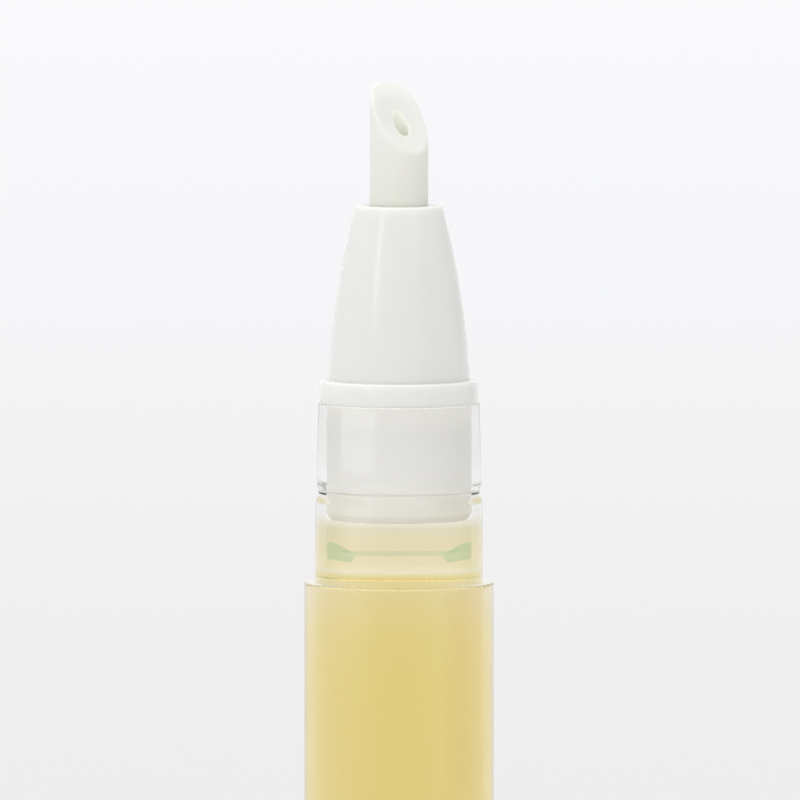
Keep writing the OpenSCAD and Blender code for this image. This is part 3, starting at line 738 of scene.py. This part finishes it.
class PEN_OT_tip(bpy.types.Operator):
    """Soft slanted tip with its scooped face and outlet hole"""
    bl_idname = "pen.tip"
    bl_label = "Applicator tip"

    def execute(self, context):
        s, colours = context.scene.pen_sizes, context.scene.pen_colours
        cone = NOSE_HIGH.z
        face = Vector((0, 0, cone + s.face_h))
        seat = cone - s.tip_seat
        tip_r = s.tip_d / 2
        tube_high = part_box("feed_tube")[1]
        tilt = Matrix.Rotation(s.face_turn, 4, "Z") @ Matrix.Rotation(s.face_slant, 4, "Y")
        normal = (tilt @ Vector((0, 0, 1))).normalized()
        down = (tilt @ Vector((1, 0, 0))).normalized()
        piece = turned("tip", [(TIP_HIGH.x, TIP_LOW.z), (TIP_HIGH.x, seat), (tip_r, seat),
                               (tip_r, face.z + 2 * tip_r)], sides=TIP_SIDES)
        crown = self.drum(s.crown_r, face, 2 * tip_r, face.z - TIP_LOW.z, tilt)
        self.carve(crown, "UNION", self.drum(2 * TIP_HIGH.x, face, 0, face.z - TIP_LOW.z + tip_r))
        self.carve(piece, "INTERSECT", crown)
        edit()
        bpy.ops.mesh.bisect(plane_co=face, plane_no=normal, use_fill=True, clear_outer=True)
        bpy.ops.object.mode_set(mode="OBJECT")
        self.carve(piece, "DIFFERENCE", self.scoop(s, face + down * s.scoop_at, normal))
        self.soften(piece, s.tip_grain, 80)
        outlet = Vector((s.outlet_x, -s.outlet_y, face.z))
        self.carve(piece, "DIFFERENCE", self.drum(s.outlet_d / 2, outlet, 2 * tip_r,
                                                  face.z - tube_high.z - s.seat_fit))
        self.carve(piece, "DIFFERENCE", self.drum(tube_high.x + s.seat_fit, Vector((0, 0, TIP_LOW.z)),
                                                  tube_high.z - TIP_LOW.z + s.seat_fit, tip_r))
        self.soften(piece, s.tip_grain, 20)
        smooth(piece, 180, False)
        dress(piece, "barrel", "soft_tip", soft_tip_finish(s, colours))
        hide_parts("applicator_tip")
        return {"FINISHED"}

    @staticmethod
    def drum(radius, at, above, below, tilt=Matrix.Identity(4)):
        """A cylinder that reaches above and below a place, along its own axis turned by tilt."""
        deselect()
        bpy.ops.mesh.primitive_cylinder_add(vertices=TIP_SIDES, radius=radius, depth=above + below)
        tool = bpy.context.object
        middle = Matrix.Translation((0, 0, (above - below) / 2))
        tool.data.transform(Matrix.Translation(at) @ tilt @ middle)
        return tool

    @staticmethod
    def scoop(s, at, normal):
        """The ball that hollows the face to its depth at a place."""
        deselect()
        bpy.ops.mesh.primitive_uv_sphere_add(segments=256, ring_count=128, radius=s.scoop_r)
        tool = bpy.context.object
        tool.data.transform(Matrix.Translation(at + normal * (s.scoop_r - s.scoop_d)))
        return tool

    @staticmethod
    def soften(piece, grain, rounds):
        """Gives the piece an even mesh and smooths it, which rounds its edges."""
        modify(piece, "REMESH", mode="VOXEL", voxel_size=grain)
        modify(piece, "SMOOTH", factor=0.5, iterations=rounds)

    @staticmethod
    def carve(piece, operation, tool):
        """Joins, keeps or cuts the tool's volume, and removes the tool."""
        modify(piece, "BOOLEAN", operation=operation, object=tool, solver="EXACT")
        bpy.data.objects.remove(tool)


class PEN_OT_oil(bpy.types.Operator):
    """Oil in the barrel, which shortens as the piston rises, and oil in the neck"""
    bl_idname = "pen.oil"
    bl_label = "Oil"

    def execute(self, context):
        s, colours = context.scene.pen_sizes, context.scene.pen_colours
        side, end = tint_finish("neck_oil", colours.oil_neck), wetted_finish(colours)
        column = turned("oil", [(OIL_HIGH.x, OIL_LOW.z), (OIL_HIGH.x, OIL_HIGH.z)])
        smooth(column)
        dress(column, "barrel", "oil", oil_finish(colours))
        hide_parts("oil_column")
        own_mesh(column)
        step = BARREL_HIGH.z - s.neck_h + s.step_h
        neck_r = s.neck_bore_d / 2 - s.seat_fit
        neck = turned("neck_oil", [(NECK_OIL_HIGH.x, NECK_OIL_LOW.z), (neck_r, step),
                                   (neck_r, NECK_OIL_HIGH.z)])
        smooth(neck, 60)
        dress(neck, "barrel", "oil", side, end)
        paint(neck, 1, lambda at, normal: abs(normal.z) > 0.5)
        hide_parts("oil_in_neck")
        self.reflection_film(s, colours, neck_r, Vector((0, 0, BARREL_HIGH.z - s.neck_h + s.film_h)))
        return {"FINISHED"}

    @staticmethod
    def reflection_film(s, colours, neck_r, level):
        """The film on the oil, whose green tint is a painted reflection. It hangs across the bore, thickens
        on both sides and climbs the wall.
        """
        deselect()
        bpy.ops.mesh.primitive_cube_add(size=1, location=level)
        reflection_film = name_piece("reflection_film")
        edit()
        end, thicken = neck_r - 0.8 * MM, 0.27 * MM
        steps = ((thicken, -0.16 * MM, 6.8), (neck_r - end - thicken, 0.6 * MM, 0.6))
        bpy.ops.transform.resize(value=(2 * end, 1.4 * neck_r, s.film_t))
        for side in (-1, 1):
            for step, rise, grow in steps:
                bpy.ops.mesh.select_mode(type="FACE")
                bpy.ops.mesh.select_all(action="DESELECT")
                mesh = bmesh.from_edit_mesh(reflection_film.data)
                far = max(mesh.faces, key=lambda face: face.calc_center_median().x * side)
                far.select_set(True)
                bmesh.update_edit_mesh(reflection_film.data)
                bpy.ops.mesh.extrude_region_move(TRANSFORM_OT_translate={"value": (side * step, 0, rise)})
                bpy.ops.transform.resize(value=(1, 1, grow))
        bpy.ops.object.mode_set(mode="OBJECT")
        bpy.ops.object.transform_apply(location=True, rotation=True, scale=True)
        deselect()
        bpy.ops.mesh.primitive_cylinder_add(vertices=s.sides, radius=neck_r - s.seat_fit, depth=6 * MM,
                                            location=level)
        bore = bpy.context.object
        modify(reflection_film, "BOOLEAN", operation="INTERSECT", object=bore, solver="EXACT")
        bpy.data.objects.remove(bore)
        # painted reflection in green
        dress(reflection_film, "barrel", "oil", tint_finish("painted_reflection_film", colours.reflection_film),
              tint_finish("painted_reflection_film_end", colours.reflection_film_end))
        paint(reflection_film, 1, lambda at, normal: abs(at.x) > end)


class PEN_OT_piston(bpy.types.Operator):
    """Piston with two sealing lips"""
    bl_idname = "pen.piston"
    bl_label = "Piston"

    def execute(self, context):
        s, colours = context.scene.pen_sizes, context.scene.pen_colours
        low, high, lip_r = PISTON_LOW.z, PISTON_HIGH.z, PISTON_HIGH.x
        relief, lip, socket = 0.4 * MM, 0.8 * MM, 1.4 * MM
        waist_r, hole_r, socket_r = lip_r - relief, 1.35 * MM, 1.7 * MM
        roof = high - 1.8 * MM
        piece = turned("follower", [
            (lip_r - relief / 2, high), (lip_r, high - lip / 3), (lip_r, high - lip),
            (waist_r, high - lip - relief), (waist_r, low + lip + relief), (lip_r, low + lip),
            (lip_r, low + lip / 3), (lip_r - relief / 2, low), (hole_r, low), (hole_r, roof - socket),
            (socket_r, roof - socket), (socket_r, roof)])
        round_rings(piece, [(lip_r, high - lip / 3), (lip_r, high - lip), (lip_r, low + lip),
                            (lip_r, low + lip / 3), (lip_r - relief / 2, high)], 0.08 * MM, 3)
        round_rings(piece, [(waist_r, high - lip - relief), (waist_r, low + lip + relief)], 0.2 * MM, 4)
        smooth(piece)
        dress(piece, "piston", "piston_plastic", moulded_finish("piston_plastic", colours.white, 0.35))
        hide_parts("piston")
        return {"FINISHED"}


class PEN_OT_mechanism(bpy.types.Operator):
    """Finishes of the moulded inner pieces"""
    bl_idname = "pen.mechanism"
    bl_label = "Mechanism"

    def execute(self, context):
        colours = context.scene.pen_colours
        white = moulded_finish("white_plastic", colours.white, 0.38)
        for name in ("feed_tube", "tip_support", "thread_nut", "ratchet_ring", "drive_sleeve",
                     "retaining_ring", "screw_rod"):
            dress_node(name, white)
        dress_node("o_ring", rubber_finish(colours))
        return {"FINISHED"}


class PEN_OT_knob(bpy.types.Operator):
    """Tail knob and its end plug"""
    bl_idname = "pen.knob"
    bl_label = "Tail knob"

    def execute(self, context):
        s, colours = context.scene.pen_sizes, context.scene.pen_colours
        finish = moulded_finish("knob_plastic", colours.knob, 0.26)
        out_r, low, high = KNOB_HIGH.x, KNOB_LOW.z, KNOB_HIGH.z
        hollow_r = out_r - s.knob_wall
        web = high - s.knob_web
        bore_r = 3.23 * MM
        piece = turned("knob", [(hollow_r, low), (out_r, low), (out_r, high), (bore_r, high), (bore_r, web),
                                (hollow_r, web)], hollow=True)
        round_rings(piece, [(out_r, low)], s.edge_r, 5)
        round_rings(piece, [(out_r, high), (hollow_r, low)], s.edge_r / 2, 4)
        smooth(piece)
        dress(piece, "knob", "knob_plastic", finish)
        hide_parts("tail_knob")
        dress_node("end_plug", finish)
        return {"FINISHED"}


class PEN_OT_cap(bpy.types.Operator):
    """Pull-off cap and its liner, standing beside the pen"""
    bl_idname = "pen.cap"
    bl_label = "Cap"

    def execute(self, context):
        s, colours = context.scene.pen_sizes, context.scene.pen_colours
        middle = (CAP_LOW + CAP_HIGH) / 2
        centre = (middle.x, middle.y)
        out_r, low, high = (CAP_HIGH.x - CAP_LOW.x) / 2, CAP_LOW.z, CAP_HIGH.z
        bore_r, pole_r = s.cap_bore_d / 2, 0.02 * MM
        piece = turned("cap", [(bore_r, low), (out_r, low), (out_r, high), (pole_r, high),
                               (pole_r, high - s.cap_end), (bore_r, high - s.cap_end)],
                       centre=centre, hollow=True)
        round_rings(piece, [(out_r, high)], 2 * s.edge_r, 8, centre)
        round_rings(piece, [(out_r, low), (bore_r, low)], s.edge_r / 2, 3, centre)
        smooth(piece)
        dress(piece, "cap", "milky_plastic", moulded_finish("cap_plastic", colours.milk, 0.24))
        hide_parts("cap_shell")
        dress_node("cap_liner", moulded_finish("liner_plastic", colours.white, 0.4))
        return {"FINISHED"}


class PEN_OT_stage(bpy.types.Operator):
    """Pale floor, soft studio light and the camera"""
    bl_idname = "pen.stage"
    bl_label = "Stage"

    def execute(self, context):
        colours = context.scene.pen_colours
        deselect()
        bpy.ops.mesh.primitive_plane_add(size=60, location=(0, 0, 0))
        floor = name_piece("floor")
        floor.data.materials.append(floor_finish(colours))
        context.scene.world = self.studio()
        for box in SOFTBOXES:
            self.softbox(*box)
        self.camera(context)
        context.scene.view_settings.view_transform = "Standard"
        return {"FINISHED"}

    @staticmethod
    def studio():
        """White surroundings that darken towards the right and towards the ground."""
        w = Shader(bpy.data.worlds.new("studio"), "ShaderNodeOutputWorld", "Generated")
        across = w.greys(w.between(w.axis("X"), -1, 1), (
            (0.0, 1.0), (0.03, 1.0), (0.07, 0.86), (0.28, 1.0), (0.5, 0.98), (0.7, 0.98), (0.85, 0.62),
            (0.92, 0.46), (0.96, 0.8), (1.0, 0.8)), "EASE")
        up = w.greys(w.between(w.axis("Z"), 0, 1),
                     ((0.0, 0.42), (0.5, 0.51), (0.84, 0.585), (0.9, 0.66), (1.0, 0.66)), "EASE")
        light = w.node("ShaderNodeBackground", {}, {"Color": w.multiply(across, up), "Strength": 2.22})
        return w.finish(Surface=light)

    @staticmethod
    def softbox(name, azimuth, elevation, size, glow):
        """A softbox that faces the pen from a direction in degrees. glow is its radiance."""
        turn, rise, away = radians(azimuth), radians(elevation), 1.3
        light = bpy.data.lights.new(name, "AREA")
        light.shape = "RECTANGLE"
        light.size, light.size_y = size
        light.energy = glow * pi * size[0] * size[1]
        lamp = bpy.data.objects.new(name, light)
        aim = Vector((0, 0, 0.11))
        lamp.location = aim + away * Vector((sin(turn) * cos(rise), -cos(turn) * cos(rise), sin(rise)))
        lamp.rotation_euler = (aim - lamp.location).to_track_quat("-Z", "Y").to_euler()
        bpy.context.scene.collection.objects.link(lamp)

    @staticmethod
    def camera(context):
        """A long lens a little above level. The photograph is 48.5 mm wide at the pen's axis."""
        far, rise, wide = 1.2, radians(4), 48.5 * MM
        aim = Vector((0.06 * MM, 0, 111.06 * MM))
        lens = bpy.data.cameras.new("camera")
        lens.sensor_width = 36
        lens.lens = lens.sensor_width * far / wide
        lens.clip_start, lens.clip_end = 0.01, 200
        eye = bpy.data.objects.new("camera", lens)
        eye.location = aim + Vector((0, -far * cos(rise), far * sin(rise)))
        eye.rotation_euler = (aim - eye.location).to_track_quat("-Z", "Y").to_euler()
        context.scene.collection.objects.link(eye)
        context.scene.camera = eye


OPERATORS = (PEN_OT_barrel, PEN_OT_nose, PEN_OT_tip, PEN_OT_oil, PEN_OT_piston, PEN_OT_mechanism,
             PEN_OT_knob, PEN_OT_cap, PEN_OT_stage)


class PEN_PT_pieces(bpy.types.Panel):
    """Lists the pieces of the pen"""
    bl_idname = "PEN_PT_pieces"
    bl_label = "Nail oil pen"
    bl_space_type = "VIEW_3D"
    bl_region_type = "UI"
    bl_category = "Oil Pen"

    def draw(self, context):
        for operator in OPERATORS:
            self.layout.operator(operator.bl_idname)
        for group in (context.scene.pen_sizes, context.scene.pen_colours):
            box = self.layout.box()
            for name in group.__annotations__:
                box.prop(group, name)


CLASSES = (PenSizes, PenColours, *OPERATORS, PEN_PT_pieces)


def register():
    for cls in CLASSES:
        bpy.utils.register_class(cls)
    bpy.types.Scene.pen_sizes = PointerProperty(type=PenSizes)
    bpy.types.Scene.pen_colours = PointerProperty(type=PenColours)


def unregister():
    del bpy.types.Scene.pen_colours
    del bpy.types.Scene.pen_sizes
    for cls in reversed(CLASSES):
        bpy.utils.unregister_class(cls)


def main():
    register()
    for operator in OPERATORS:
        group, name = operator.bl_idname.split(".")
        getattr(getattr(bpy.ops, group), name)()


if __name__ == "__main__":
    main()
